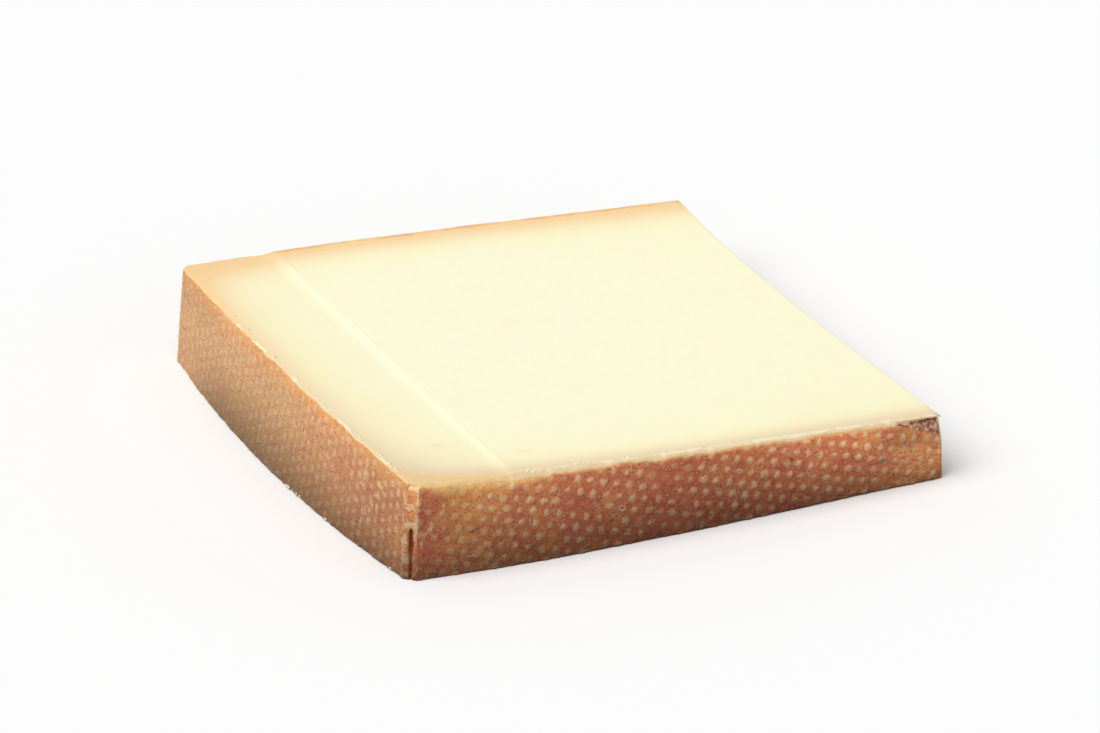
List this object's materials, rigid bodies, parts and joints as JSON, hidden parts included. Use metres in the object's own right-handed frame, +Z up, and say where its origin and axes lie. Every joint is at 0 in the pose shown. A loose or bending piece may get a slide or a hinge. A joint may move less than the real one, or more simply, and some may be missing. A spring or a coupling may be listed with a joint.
{
  "type": "cheese slice with rind",
  "caption": "Thin radial slice of a hard pressed cheese wheel with a dotted brown rind on three sides, lying on one knife cut.",
  "frame": {"origin": "centre of the bounding box's bottom, on the lower knife cut", "axes": "+X from the heel (the wheel's side wall) to the cut nose, +Y from the front to the back rind, +Z up from the lower knife cut"},
  "size_m": [0.114, 0.1142, 0.0192],
  "materials": {
    "cheese_paste": "smooth knife-cut paste, with a dry brown rind dotted in cream on the heel and both flat sides"
  },
  "bodies": {
    "root": {"gruyere_slice": "cheese_paste"}
  },
  "joints": []
}
